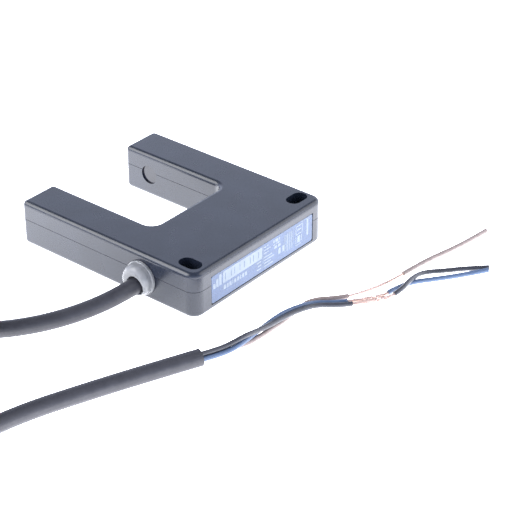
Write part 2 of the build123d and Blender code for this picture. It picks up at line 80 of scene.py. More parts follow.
# ---- Cable sizes and routes, in millimetres and degrees as the design has them ----
CABLE_D = 4.7
CABLE_R = CABLE_D / 2
JACKET_BORE = 1.68         # radius of the short hole that the cores come out of
JACKET_BORE_DEPTH = 2.5
CORE_D = 1.4
COIL_X = -106.0
COIL_Y = 12.0
COIL_TURN_R = (30.4, 25.7, 21.0)
COIL_LAYERS = 4
COIL_START = 15.0          # where the first turn begins
COIL_STEP = 22.5           # between two points of a turn
COIL_SHIFT = 60.0          # how long a turn takes to move over to the next place
COIL_STAGGER = 17.0        # how much earlier in its turn a move comes after each layer and each climb
LEAVE_R = 35.1             # the last turn goes down outside the others
LEAVE_STEPS = 10
LEAVE_SHIFT = 45.0         # how long it takes to move out
LEAVE_DROP = (15.0, 125.0)  # where it starts and stops to go down
TIE_ANGLE = 296.25
TIE_LIFT = 0.8             # the turns lie on the strap there
NEAR_ROUTE = [
    (-21.0, -14.15, 5.8),
    (-34.4, -14.3, 5.45),
    (-47.0, -9.8, 3.3),
    (-59.0, -3.4, 2.42),
    (-69.5, 5.2, 2.35),
]
FAR_ROUTE = [
    (-109.5, -25.2, 2.35),
    (-90.0, -27.9, 2.35),
    (-70.0, -35.3, 2.35),
    (-54.3, -41.6, 2.35),
    (-42.2, -46.7, 2.35),
]
BUNDLE_ROUTE = [
    (-42.2, -46.7, 2.35),
    (-37.8, -48.2, 2.0),
    (-33.3, -49.25, 1.86),
    (-28.8, -50.0, 1.8),
    (-24.2, -50.4, 1.77),
    (-19.6, -50.6, 1.74),
    (-15.0, -50.75, 1.74),
    (-10.6, -51.1, 1.74),
    (-6.4, -51.75, 1.74),
    (-2.2, -53.3, 1.74),
]
LAY = {                    # how much nearer and higher than the bundle's middle each core lies
    "brown": [
        (-0.7, -0.63), (-0.72, -0.63), (-0.65, -0.58), (0.18, -1.08), (0.43, -1.04),
        (0.36, -0.98), (0.32, -0.96), (-0.27, -1.03), (-1.59, -1.02), (-2.28, -0.3),
    ],
    "blue": [
        (0.69, -0.34), (0.69, -0.34), (0.92, -0.13), (0.63, 0.5), (-0.37, 0.2),
        (-0.76, 0.24), (-0.88, 0.53), (-0.8, 0.47), (-0.42, 0.24), (-0.77, -0.43),
    ],
    "black": [
        (-0.22, 0.75), (-0.22, 0.76), (-0.02, 1.02), (0.6, 2.04), (0.6, 1.34),
        (0.65, 0.85), (0.55, 0.5), (0.63, 0.3), (1.0, 0.16), (0.66, -0.4),
    ],
}
TAILS = {
    "brown": [
        (4.3, -55.9, 1.05),
        (9.5, -58.3, 0.75),
        (16.5, -60.5, 0.71),
        (23.0, -61.6, 0.71),
        (29.0, -62.1, 0.71),
        (37.5, -63.1, 0.71),
        (49.0, -65.7, 0.71),
        (60.4, -66.7, 0.71),
    ],
    "blue": [
        (1.8, -56.1, 0.8),
        (7.8, -60.7, 0.71),
        (12.6, -64.0, 0.71),
        (18.2, -64.6, 0.71),
        (23.8, -66.1, 0.71),
        (29.2, -70.3, 0.71),
        (36.0, -75.1, 0.71),
        (42.5, -79.0, 0.71),
    ],
    "black": [
        (1.7, -58.2, 0.9),
        (7.5, -62.3, 0.75),
        (12.6, -66.0, 0.95),
        (17.2, -67.4, 1.95),
        (22.8, -66.5, 2.4),
        (29.3, -66.0, 1.25),
        (34.3, -69.6, 0.71),
        (39.4, -73.8, 0.71),
        (43.9, -78.4, 0.71),
    ],
}
# The runs of the tail in whose middles the bare stretch starts and ends.
STRIPPED = {"brown": (0, 3), "blue": (0, 2), "black": (0, 2)}


def metres(points):
    """Points in metres."""
    return [tuple(c * MM for c in p) for p in points]


def middle_of(a, b):
    """The point halfway between two points."""
    return tuple((p + q) / 2 for p, q in zip(a, b))


def smooth(t):
    """Eases from 0 to 1."""
    t = min(max(t, 0.0), 1.0)
    return t * t * (3 - 2 * t)


def line_of(points, steps=8):
    """Points along the smooth spline that has the route's points as its control points."""
    data = bpy.data.curves.new("route", "CURVE")
    data.dimensions = "3D"
    spline = data.splines.new("NURBS")
    spline.points.add(len(points) - 1)
    for place, point in zip(spline.points, points):
        place.co = (*point, 1)
    spline.order_u = 3
    spline.use_endpoint_u = True
    spline.resolution_u = steps
    holder = bpy.data.objects.new("route", data)
    mesh = bpy.data.meshes.new_from_object(holder)
    line = [v.co.copy() for v in mesh.vertices]
    bpy.data.objects.remove(holder)
    bpy.data.curves.remove(data)
    bpy.data.meshes.remove(mesh)
    return line


def frames_of(line):
    """The heading, a side and an up direction at each point, turning as little as they can."""
    headings = []
    for i in range(len(line)):
        headings.append((line[min(i + 1, len(line) - 1)] - line[max(i - 1, 0)]).normalized())
    side = headings[0].cross(Vector((0, 0, 1))).normalized()
    frames = []
    for heading in headings:
        side = (side - heading * side.dot(heading)).normalized()
        frames.append((heading, side, heading.cross(side)))
    return frames


SHARP_ANGLE = math.radians(38)
finish_of = {}          # the new pieces' finishes, by piece


def add_piece(name, bm, slot, nodes=(), finish=None):
    """Turns a bmesh into a piece that rides on the one body and takes its finish at the end."""
    bmesh.ops.recalc_face_normals(bm, faces=bm.faces)
    mesh = bpy.data.meshes.new(name)
    bm.to_mesh(mesh)
    bm.free()
    mesh.shade_smooth()
    mesh.set_sharp_from_angle(angle=SHARP_ANGLE)
    piece = bpy.data.objects.new(name, mesh)
    bpy.context.scene.collection.objects.link(piece)
    if nodes:
        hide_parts(*nodes)
    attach(piece, "root")
    finish_of[piece] = finish or slot
    return piece


def join_rings(bm, rings, closed=False):
    """Faces between each ring of vertices and the next one."""
    pairs = list(zip(rings, rings[1:]))
    if closed:
        pairs.append((rings[-1], rings[0]))
    faces = []
    for lower, upper in pairs:
        for k in range(len(lower)):
            n = (k + 1) % len(lower)
            faces.append(bm.faces.new((lower[k], lower[n], upper[n], upper[k])))
    return faces


def lengths_along(line):
    """How far along the line each of its points is."""
    run = [0.0]
    for a, b in zip(line, line[1:]):
        run.append(run[-1] + (b - a).length)
    return run


RIM_SHARE = 0.12         # how much of a tube's radius its rounded rim takes
RIM_DEPTH = 0.3          # the rim's depth, as a share of its width


def tube_rings(last, radius, bore, bore_depth):
    """Each ring's point, shift along the line and radius: a tube with rounded rims and blind bores."""
    rim = radius * RIM_SHARE
    start = [(0, bore_depth, bore), (0, 0, bore), (0, 0, radius - rim), (0, rim * RIM_DEPTH, radius)]
    end = [(last, -shift, r) for _, shift, r in reversed(start)]
    return start + [(i, 0, radius) for i in range(1, last)] + end


def tube(name, line, radius, bore, slot, nodes, sides=20, bore_depth=0.6 * MM):
    """A mesh tube along a line, with the length and the turn round it as a map for its streaks."""
    bm = bmesh.new()
    along = bm.loops.layers.uv.new("along")
    frames = frames_of(line)
    run = lengths_along(line)
    rings = []
    place_of = {}
    for i, shift, r in tube_rings(len(line) - 1, radius, bore, bore_depth):
        heading, side, up = frames[i]
        centre = line[i] + heading * shift
        ring = []
        for k in range(sides):
            a = math.tau * k / sides
            corner = bm.verts.new(centre + side * (r * math.cos(a)) + up * (r * math.sin(a)))
            place_of[corner] = ((run[i] + shift) / MM, abs(2 * k / sides - 1))
            ring.append(corner)
        rings.append(ring)
    for face in join_rings(bm, rings):
        for loop in face.loops:
            loop[along].uv = place_of[loop.vert]
    bm.faces.new(rings[0])
    bm.faces.new(rings[-1])
    return add_piece(name, bm, slot, nodes)


# ---- The cable: near stretch, coil and far stretch are one line ----
def coil_point(radius, angle, z):
    """A control point whose curve runs at the radius."""
    reach = radius / math.cos(math.radians(COIL_STEP / 2))
    a = math.radians(angle)
    return (COIL_X + reach * math.cos(a), COIL_Y + reach * math.sin(a), z)


def coil_places():
    """Where each turn lies, in winding order: layer by layer, out to in and back."""
    places = []
    for layer in range(COIL_LAYERS):
        row = COIL_TURN_R if layer % 2 == 0 else COIL_TURN_R[::-1]
        for radius in row:
            places.append((radius, CABLE_R + layer * CABLE_D, layer))
    return places


def coil_route():
    """All turns, each of which moves over to the next place before it meets the one that lies there."""
    places = coil_places()
    moves = []
    for i in range(len(places) - 1):
        here, there = places[i], places[i + 1]
        stage = 2 * here[2] + (1 if there[2] > here[2] else 0)
        end = 360.0 * (i + 1) - COIL_STAGGER * stage
        moves.append((end - COIL_SHIFT, here, there))
    points = []
    for i in range(int((len(places) - 1) * 360 / COIL_STEP)):
        turned = i * COIL_STEP
        radius, z, _ = places[0]
        for start, here, there in moves:
            share = smooth((turned - start) / COIL_SHIFT)
            radius += (there[0] - here[0]) * share
            z += (there[1] - here[1]) * share
        angle = (COIL_START + turned) % 360
        off = abs(angle - TIE_ANGLE)
        lift = TIE_LIFT * smooth(1.5 - off / COIL_STEP)
        points.append(coil_point(radius, angle, z + lift))
    return points


def leaving_turn():
    """The last turn, from the top of the ring down its outside to the floor."""
    top = CABLE_R + (COIL_LAYERS - 1) * CABLE_D
    points = []
    for i in range(LEAVE_STEPS + 1):
        turned = i * COIL_STEP
        radius = COIL_TURN_R[0] + (LEAVE_R - COIL_TURN_R[0]) * smooth(turned / LEAVE_SHIFT)
        drop = smooth((turned - LEAVE_DROP[0]) / (LEAVE_DROP[1] - LEAVE_DROP[0]))
        points.append(coil_point(radius, COIL_START + turned, top + (CABLE_R - top) * drop))
    return points


def make_cable():
    """The whole jacketed cable as one piece, and the line that it follows."""
    route = NEAR_ROUTE + coil_route() + leaving_turn() + FAR_ROUTE
    line = line_of(metres(route))
    nodes = ("cable_near", "cable_coil", "cable_far")
    radii = (CABLE_R * MM, JACKET_BORE * MM)
    depth = JACKET_BORE_DEPTH * MM
    piece = tube("cable", line, *radii, "cable_jacket", nodes, sides=28, bore_depth=depth)
    return piece, line


cable, cable_line = make_cable()


# ---- The three cores ----
def woven(colour):
    """One core's points, laid round the others."""
    points = []
    last = len(BUNDLE_ROUTE) - 1
    for i, (here, (nearer, higher)) in enumerate(zip(BUNDLE_ROUTE, LAY[colour])):
        before = BUNDLE_ROUTE[max(i - 1, 0)]
        after = BUNDLE_ROUTE[min(i + 1, last)]
        dx, dy = after[0] - before[0], after[1] - before[1]
        across = nearer / math.hypot(dx, dy)
        points.append((here[0] + across * dy, here[1] - across * dx, here[2] + higher))
    return points


def core_routes(colour):
    """Routes of the insulation, the bare strands and the loose end sleeve."""
    tail = TAILS[colour]
    first, last = STRIPPED[colour]
    bare_from = middle_of(tail[first], tail[first + 1])
    bare_to = middle_of(tail[last], tail[last + 1])
    insulation = woven(colour) + tail[:first + 1] + [bare_from]
    bare = [bare_from] + tail[first + 1:last + 1] + [bare_to]
    sleeve = [bare_to] + tail[last + 1:]
    return metres(insulation), metres(bare), metres(sleeve)


STRAND_D = 0.15
STRAND_SIDES = 6
STRAND_PITCH = 13.0
STRAND_CIRCLES = ((1, 0.0), (6, 0.155), (12, 0.3))   # how many strands, and how far from the middle
STRAND_WAVER = 0.06      # how far a strand strays from its circle, per unit of splay
STRAND_OVERLAP = 0.5     # how far the strands reach into the insulation
CORE_BORE = 0.41
SPLAY = {"brown": 0.25, "blue": 0.9, "black": 0.8}    # how far the bare strands spread, as a share


def off_line(frame_here, angle, reach):
    """The step from the line to a place beside it."""
    _, side, up = frame_here
    return (side * math.cos(angle) + up * math.sin(angle)) * (reach * MM)


def strand_bundle(name, line, splay, node):
    """Fine twisted strands that follow the line and spread a little where they are bare."""
    bm = bmesh.new()
    frames = frames_of(line)
    run = lengths_along(line)
    number = 0
    for count, distance in STRAND_CIRCLES:
        for strand in range(count):
            number += 1
            lean = 0.55 + 0.45 * math.sin(2.4 * number)
            rings = []
            for here, frame_here, done in zip(line, frames, run):
                share = done / run[-1]
                bare = math.sin(math.pi * share) ** 1.3
                angle = math.tau * (strand / count + done / (STRAND_PITCH * MM)) + 0.2 * lean
                reach = distance * (1 + splay * lean * bare)
                reach += STRAND_WAVER * splay * bare * math.sin(1.7 * number + 9 * share)
                centre = here + off_line(frame_here, angle, reach)
                ring = []
                for k in range(STRAND_SIDES):
                    corner = off_line(frame_here, math.tau * k / STRAND_SIDES, STRAND_D / 2)
                    ring.append(bm.verts.new(centre + corner))
                rings.append(ring)
            join_rings(bm, rings)
            bm.faces.new(rings[0])
            bm.faces.new(rings[-1])
    return add_piece(name, bm, "copper_strands", (node,))


def extended(line, reach):
    """The line with both ends carried straight on, so that strands start and end inside insulation."""
    first = line[0] + (line[0] - line[1]).normalized() * reach
    last = line[-1] + (line[-1] - line[-2]).normalized() * reach
    return [first, *line, last]


def make_core(colour):
    """One core: its insulation, its bare strands and the loose sleeve at its end."""
    insulation, bare, sleeve = core_routes(colour)
    line = line_of(insulation, 10)
    slot = f"core_{colour}"
    radius = CORE_D / 2 * MM
    core = tube(f"{colour}_insulation", line, radius, CORE_BORE * MM, slot, (f"{colour}_core",))
    bare_line = extended(line_of(bare, 12), STRAND_OVERLAP * MM)
    strands = strand_bundle(f"{colour}_strands", bare_line, SPLAY[colour], f"{colour}_conductor")
    loose_line = line_of(sleeve, 10)
    loose_node = (f"{colour}_end_sleeve",)
    loose = tube(f"{colour}_loose_sleeve", loose_line, radius, CORE_BORE * MM, slot, loose_node)


for colour in TAILS:
    make_core(colour)

# ---- The gland: a translucent ring with a flange, a collar and a dome, bored off its middle ----
GLAND_Y = -13.3
GLAND_Z = 6.4
GLAND_LENGTH = 3.8         # from the housing's face to the front
GLAND_DOME = 2.2
WALL = 1.7                 # the housing wall that it is snapped into
SNAP_LENGTH = 1.5          # from the wall's back to the inner end
NECK_R = 4.2
FLANGE_R = 5.0
FLANGE = 0.8               # thickness
SHOULDER_R = 4.6           # where the dome starts
FRONT_R = 2.9              # where the dome ends in the flat front
BORE_R = 2.7
BORE_YZ = (-14.1, 5.75)
BORE_LIP = 0.2
GLAND_SIDES = 96


def quarter(start, end, along_axis_first, steps=6):
    """A rounded corner of a profile, from start to end; the points are (place on the axis, radius)."""
    points = []
    for i in range(steps + 1):
        a = math.pi / 2 * i / steps
        early, late = math.sin(a), 1 - math.cos(a)
        if not along_axis_first:
            early, late = late, early
        points.append((start[0] + (end[0] - start[0]) * early, start[1] + (end[1] - start[1]) * late))
    return points


def gland_profile():
    """From the inner end over the snap rim and the flange to the middle of the front."""
    front_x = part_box("cable_gland")[0][0] / MM
    face_x = front_x + GLAND_LENGTH
    wall_back = face_x + WALL
    inner_end = wall_back + SNAP_LENGTH
    flange_x = face_x - FLANGE
    profile = [
        (inner_end, NECK_R - 0.05), (wall_back + 0.1, NECK_R + 0.4), (wall_back, NECK_R + 0.3),
        (wall_back, NECK_R), (face_x, NECK_R),
    ]
    profile += quarter((face_x, FLANGE_R - 0.13), (face_x - 0.13, FLANGE_R), False, 4)
    profile += quarter((flange_x + 0.2, FLANGE_R), (flange_x, FLANGE_R - 0.14), True)
    profile += quarter((flange_x, FLANGE_R - 0.18), (flange_x - 0.12, FLANGE_R - 0.27), False, 4)
    profile += quarter((front_x + GLAND_DOME, SHOULDER_R), (front_x, FRONT_R), True, 14)
    profile.append((front_x, 0.0))
    return profile, inner_end


def cut_at(profile, radius):
    """The profile, where all points past the bore's edge move onto that edge."""
    kept = [profile[0]]
    cut = None
    for before, after in zip(profile, profile[1:]):
        if cut is None and after[1] < radius:
            share = (before[1] - radius) / (before[1] - after[1])
            cut = (before[0] + (after[0] - before[0]) * share, radius)
        kept.append(cut or after)
    return kept


def bore_reach(angle):
    """How far the bore's wall is from the gland's axis."""
    dy, dz = BORE_YZ[0] - GLAND_Y, BORE_YZ[1] - GLAND_Z
    turned = angle - math.atan2(dz, dy)
    off = math.hypot(dy, dz)
    return off * math.cos(turned) + math.sqrt(BORE_R ** 2 - (off * math.sin(turned)) ** 2)


def make_gland():
    """The profile turned round the axis, with the bore cut through it at each angle."""
    bm = bmesh.new()
    profile, inner_end = gland_profile()
    columns = []
    for k in range(GLAND_SIDES):
        angle = math.tau * k / GLAND_SIDES
        bore = bore_reach(angle)
        points = cut_at(profile, bore + BORE_LIP)
        lip_x = points[-1][0]
        points = points[:-1] + quarter(points[-1], (lip_x + BORE_LIP, bore), False, 4) + [(inner_end, bore)]
        column = []
        for x, r in points:
            place = (x, GLAND_Y + r * math.cos(angle), GLAND_Z + r * math.sin(angle))
            column.append(bm.verts.new(Vector(place) * MM))
        columns.append(column)
    join_rings(bm, columns, closed=True)
    bmesh.ops.remove_doubles(bm, verts=bm.verts, dist=0.002 * MM)
    bmesh.ops.dissolve_degenerate(bm, edges=bm.edges, dist=0.001 * MM)
    return add_piece("gland_ring", bm, "clear_plastic", ("cable_gland",))


gland_ring = make_gland()


# ---- The label: a film in its pocket, and its print of plain blocks and bars ----
LABEL_CORNER = 0.7
PRINT_THICK = 0.02
label_low, label_high = [corner / MM for corner in map(Vector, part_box("type_label"))]


def add_plate(bm, x, z, y, corner, steps=5):
    """A thin plate with round corners that faces -Y; y runs from its back to its front."""
    rings = []
    for depth in y:
        ring = []
        for turn, (cx, cz) in enumerate(((x[1], z[1]), (x[0], z[1]), (x[0], z[0]), (x[1], z[0]))):
            inward = (1 if cx == x[0] else -1, 1 if cz == z[0] else -1)
            for i in range(steps + 1):
                a = math.pi / 2 * (turn + i / steps)
                px = cx + corner * (inward[0] + math.cos(a))
                pz = cz + corner * (inward[1] + math.sin(a))
                ring.append(bm.verts.new(Vector((px, depth, pz)) * MM))
        rings.append(ring)
    join_rings(bm, rings)
    bm.faces.new(rings[0])
    bm.faces.new(rings[-1])


def make_label_film():
    """The film fills its pocket, with rounded corners."""
    bm = bmesh.new()
    x = (label_low.x, label_high.x)
    z = (label_low.z, label_high.z)
    add_plate(bm, x, z, (label_high.y, label_low.y), LABEL_CORNER)
    add_piece("label_sheet", bm, "label_film", ("type_label",))


def print_block(bm, left, top, width, height, corner=0.08):
    """A printed block; its place is measured from the label's upper left corner."""
    x = (label_low.x + left, label_low.x + left + width)
    z = (label_high.z - top - height, label_high.z - top)
    y = (label_low.y + PRINT_THICK, label_low.y - PRINT_THICK)
    add_plate(bm, x, z, y, min(corner, width / 2, height / 2) * 0.98, 3)


def print_frame(bm, left, top, width, height, line):
    """An outline made of four bars."""
    print_block(bm, left, top, width, line)
    print_block(bm, left, top + height - line, width, line)
    print_block(bm, left, top + line, line, height - 2 * line)
    print_block(bm, left + width - line, top + line, line, height - 2 * line)


def print_row(bm, left, top, height, widths, gap):
    """Blocks of several widths side by side."""
    for width in widths:
        print_block(bm, left, top, width, height)
        left += width + gap


def make_label_print():
    """Blocks, bars and frames only: nothing on the label can be read."""
    bm = bmesh.new()
    for i, height in enumerate((1.5, 2.5, 3.5)):
        print_block(bm, 0.6 + 1.25 * i, 4.2 - height, 1.0, height)
    print_block(bm, 4.7, 0.6, 16.6, 0.8)
    print_block(bm, 4.7, 3.4, 16.6, 0.8)
    print_row(bm, 4.7, 1.4, 2.0, (0.9, 2.2, 1.2, 2.0, 1.6, 2.3, 1.1, 2.0, 1.4), 0.23)
    print_row(bm, 4.9, 5.0, 1.3, (1.0, 0.7, 0.9, 0.35, 0.9, 0.9, 0.5, 0.9, 0.8), 0.36)
    for i, width in enumerate((2.0, 1.5, 1.9)):
        print_block(bm, 20.9 - width, 4.7 + 1.1 * i, width, 0.42)
    print_block(bm, 21.6, 0.6, 0.16, 7.2)
    for i, widths in enumerate(((1.0, 0.6), (0.7, 1.1, 0.4), (1.2, 0.5))):
        print_row(bm, 22.1, 0.9 + 1.0 * i, 0.45, widths, 0.3)
    for i, width in enumerate((3.6, 4.4, 3.0, 4.0)):
        print_block(bm, 22.1, 4.2 + 0.95 * i, width, 0.42)
    print_row(bm, 26.2, 0.7, 1.0, (0.5, 1.3, 0.5), 0.3)
    print_row(bm, 26.2, 2.0, 0.5, (0.8, 0.4, 1.2), 0.3)
    print_row(bm, 26.6, 2.9, 0.8, (1.2, 1.2), 0.4)
    print_row(bm, 28.4, 4.3, 1.9, (1.1, 1.1), 0.7)
    print_row(bm, 31.2, 1.3, 5.6, (0.25, 0.12, 0.4, 0.12, 0.25, 0.12, 0.3, 0.12), 0.3)
    print_frame(bm, 36.1, 0.9, 3.2, 2.9, 0.3)
    print_block(bm, 36.8, 2.1, 1.8, 0.5)
    print_row(bm, 36.1, 4.3, 2.2, (0.3, 1.2, 0.3), 0.5)
    print_block(bm, 36.1, 6.9, 2.4, 0.3)
    print_block(bm, 41.1, 0.6, 0.8, 5.2)
    print_block(bm, 38.6, 0.25, 4.4, 0.14)
    add_piece("label_print", bm, "label_film", finish="label_print")


make_label_film()
make_label_print()


# ---- The tie round the coil ----
TIE_WIDTH = 4.0
TIE_THICK = 0.8
TIE_TOP = 20.5
TIE_CORNER = 2.75           # the strap bends round the turns in the ring's corners
TIE_STEP = 0.55
TIE_TEETH = (0.55, 0.15)    # half the toothed band's width, and the teeth's depth
TIE_HEAD_Z = 11.0
TIE_HEAD = (3.4, 5.6, 5.0)  # depth, width and height of its lock
TIE_TAIL = 2.6


def tie_place(r, across, z):
    """A point at the tie: r is the distance from the coil's middle."""
    a = math.radians(TIE_ANGLE)
    x = COIL_X + r * math.cos(a) - across * math.sin(a)
    y = COIL_Y + r * math.sin(a) + across * math.cos(a)
    return Vector((x, y, z)) * MM


def strap_line():
    """The strap's middle line round the ring's section, as (r, z) with the outward direction."""
    half = TIE_THICK / 2
    inner = COIL_TURN_R[-1] - CABLE_R - half
    outer = COIL_TURN_R[0] + CABLE_R + half
    r = (inner + TIE_CORNER, outer - TIE_CORNER)
    z = (half + TIE_CORNER, TIE_TOP - half - TIE_CORNER)
    centres = ((r[1], z[1]), (r[0], z[1]), (r[0], z[0]), (r[1], z[0]))
    arc_steps = math.ceil(TIE_CORNER * math.pi / 2 / TIE_STEP)
    stations = []
    for turn, (cr, cz) in enumerate(centres):
        for i in range(arc_steps + 1):
            a = math.pi / 2 * (turn + i / arc_steps)
            out = (math.cos(a), math.sin(a))
            stations.append((cr + TIE_CORNER * out[0], cz + TIE_CORNER * out[1], out))
        nr, nz = centres[(turn + 1) % 4]
        side_steps = math.ceil(math.dist((cr, cz), (nr, nz)) / TIE_STEP)
        for i in range(1, side_steps):
            share = i / side_steps
            place = (cr + (nr - cr) * share, cz + (nz - cz) * share)
            stations.append((place[0] + TIE_CORNER * out[0], place[1] + TIE_CORNER * out[1], out))
    return stations


def strap_section(tooth):
    """The strap's section as (across, outward), with a toothed band in the middle of its outside."""
    w, t, edge = TIE_WIDTH / 2, TIE_THICK / 2, 0.2
    band = w * TIE_TEETH[0]
    return [
        (-w + edge, -t), (w - edge, -t), (w, -t + edge), (w, t - edge), (w - edge, t), (band + 0.1, t),
        (band, t - tooth), (-band, t - tooth), (-band - 0.1, t),
        (-w + edge, t), (-w, t - edge), (-w, -t + edge),
    ]


def add_block(bm, place, sections, corner):
    """A block with rounded upright edges; each section is its z, and its depth and width there."""
    rings = []
    for z, depth, width in sections:
        ring = []
        for turn, (sr, sw) in enumerate(((1, 1), (-1, 1), (-1, -1), (1, -1))):
            for i in range(5):
                a = math.pi / 2 * (turn + i / 4)
                r = sr * (depth / 2 - corner) + corner * math.cos(a)
                across = sw * (width / 2 - corner) + corner * math.sin(a)
                ring.append(bm.verts.new(tie_place(place + r, across, z)))
        rings.append(ring)
    join_rings(bm, rings)
    bm.faces.new(rings[0])
    bm.faces.new(rings[-1])


def make_tie():
    """The toothed strap round the turns, with its lock and the tail that leaves it."""
    bm = bmesh.new()
    rings = []
    for i, (r, z, out) in enumerate(strap_line()):
        ring = []
        for across, outward in strap_section(TIE_TEETH[1] * (i % 2)):
            ring.append(bm.verts.new(tie_place(r + outward * out[0], across, z + outward * out[1])))
        rings.append(ring)
    join_rings(bm, rings, closed=True)
    depth, width, height = TIE_HEAD
    middle = COIL_TURN_R[-1] - CABLE_R - TIE_THICK - depth / 2
    low, high = TIE_HEAD_Z - height / 2, TIE_HEAD_Z + height / 2
    add_block(bm, middle, [
        (low, depth - 0.6, width - 0.6),
        (low + 0.3, depth, width),
        (high - 1.2, depth, width),
        (high - 0.3, depth - 0.3, width - 0.2),
        (high, depth - 0.9, width - 0.8),
        (high, depth - 1.6, width - 1.4),
        (high - 1.6, depth - 1.9, width - 1.7),
    ], 0.4)
    add_block(bm, middle, [
        (low - TIE_TAIL, 0.9, TIE_WIDTH - 0.2),
        (low - TIE_TAIL + 0.1, 1.0, TIE_WIDTH),
        (low + 0.3, 1.0, TIE_WIDTH),
    ], 0.2)
    return add_piece("coil_strap", bm, "tie_plastic", ("coil_tie",))


make_tie()


# ---- Finishes: one for each slot of the record, and one for the label's print ----
def add(tree, kind, inputs=None, **settings):
    """A new shader node, with its settings and its unlinked inputs."""
    node = tree.nodes.new("ShaderNode" + kind)
    for name, value in settings.items():
        setattr(node, name, value)
    for name, value in (inputs or {}).items():
        node.inputs[name].default_value = value
    return node


def new_finish(name, plain):
    """A material with its Principled shader, which holds the values that are the same all over."""
    material = bpy.data.materials.new(name + "_finish")
    material.use_nodes = True
    shader = material.node_tree.nodes["Principled BSDF"]
    for socket, value in plain.items():
        shader.inputs[socket].default_value = value
    return material, material.node_tree, shader


def noise(tree, size, detail=2.0, stretch=(1, 1, 1)):
    """Blotches of about this size in millimetres, from 0 to 1."""
    place = add(tree, "TexCoord")
    mapping = add(tree, "Mapping", {"Scale": stretch})
    texture = add(tree, "TexNoise", {"Scale": 1 / (size * MM), "Detail": detail})
    tree.links.new(place.outputs["Object"], mapping.inputs["Vector"])
    tree.links.new(mapping.outputs["Vector"], texture.inputs["Vector"])
    return texture.outputs["Fac"]


def spread(tree, value, low, high):
    """The noise's middle range, opened out to low and high."""
    node = add(tree, "MapRange", {"From Min": 0.3, "From Max": 0.7, "To Min": low, "To Max": high})
    tree.links.new(value, node.inputs["Value"])
    return node.outputs["Result"]


def tint(tree, shader, value, dark, pale):
    """Colours the surface from dark to pale with the value."""
    node = add(tree, "ValToRGB")
    low, high = node.color_ramp.elements
    low.color = (*dark, 1)
    high.color = (*pale, 1)
    tree.links.new(value, node.inputs["Fac"])
    tree.links.new(node.outputs["Color"], shader.inputs["Base Color"])


def bump(tree, shader, height, depth):
    """Raises the surface by up to this many millimetres."""
    node = add(tree, "Bump", {"Distance": depth * MM})
    tree.links.new(height, node.inputs["Height"])
    tree.links.new(node.outputs["Normal"], shader.inputs["Normal"])


def moulded(name, dark, pale, gloss, patch, grain, depth, **plain):
    """Moulded plastic or resin: faint patches of colour and gloss over a fine grain."""
    material, tree, shader = new_finish(name, {k.replace("_", " "): v for k, v in plain.items()})
    tint(tree, shader, spread(tree, noise(tree, patch), 0, 1), dark, pale)
    tree.links.new(spread(tree, noise(tree, patch * 0.4), *gloss), shader.inputs["Roughness"])
    bump(tree, shader, noise(tree, grain, 1.0), depth)
    return material


def jacket(name):
    """Extruded jacket: long faint streaks, scuffs and a fine bloom."""
    material, tree, shader = new_finish(name, {"Specular IOR Level": 0.5})
    place = add(tree, "UVMap", uv_map="along")
    mapping = add(tree, "Mapping", {"Scale": (0.05, 9.0, 1.0)})
    streaks = add(tree, "TexNoise", {"Scale": 1.0, "Detail": 3.0})
    tree.links.new(place.outputs["UV"], mapping.inputs["Vector"])
    tree.links.new(mapping.outputs["Vector"], streaks.inputs["Vector"])
    tint(tree, shader, spread(tree, noise(tree, 3.0), 0, 1), (0.02, 0.02, 0.026), (0.029, 0.029, 0.036))
    tree.links.new(spread(tree, streaks.outputs["Fac"], 0.36, 0.54), shader.inputs["Roughness"])
    bump(tree, shader, noise(tree, 0.35, 2.0), 0.012)
    return material


def metal(name, dark, pale, gloss, size, stretch, depth):
    """Bare metal, drawn or brushed along its length."""
    material, tree, shader = new_finish(name, {"Metallic": 1.0})
    lines = noise(tree, size, 2.0, stretch)
    tint(tree, shader, spread(tree, lines, 0, 1), dark, pale)
    tree.links.new(spread(tree, lines, *gloss), shader.inputs["Roughness"])
    bump(tree, shader, lines, depth)
    return material


